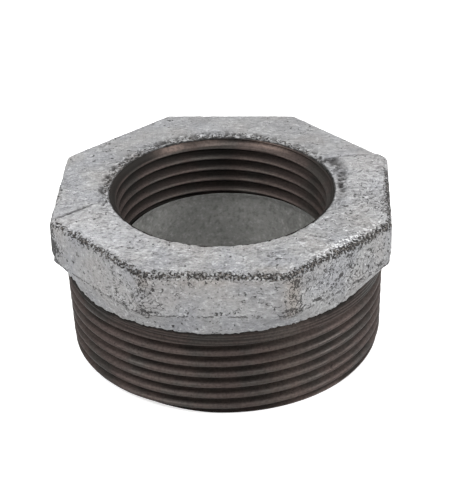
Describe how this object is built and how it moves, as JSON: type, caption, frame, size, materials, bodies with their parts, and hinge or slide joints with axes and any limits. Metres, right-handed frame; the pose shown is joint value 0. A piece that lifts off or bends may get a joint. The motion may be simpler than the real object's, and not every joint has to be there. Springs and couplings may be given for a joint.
{
  "type": "concentric reducer",
  "caption": "Octagon-head reducing bushing: a tapered male pipe thread outside and a smaller tapped hole through its middle, in galvanised iron.",
  "frame": {"origin": "centre of the end face of the male shank, which is the lowest face", "axes": "+Z along the common axis of both threads, from the male end to the octagon head; a flat of the head faces +X"},
  "size_m": [0.062, 0.062, 0.0308],
  "materials": {
    "bare_iron": "dark, freshly machined iron with a thin brown oxide film",
    "outer_zinc": "hot-dip zinc: dull light grey, uneven and pitted",
    "bore_zinc": "hot-dip zinc: dull grey over a rough cast bore"
  },
  "bodies": {
    "root": {"iron_casting": "bare_iron", "outer_zinc_coating": "outer_zinc", "bore_zinc_coating": "bore_zinc"}
  },
  "joints": []
}
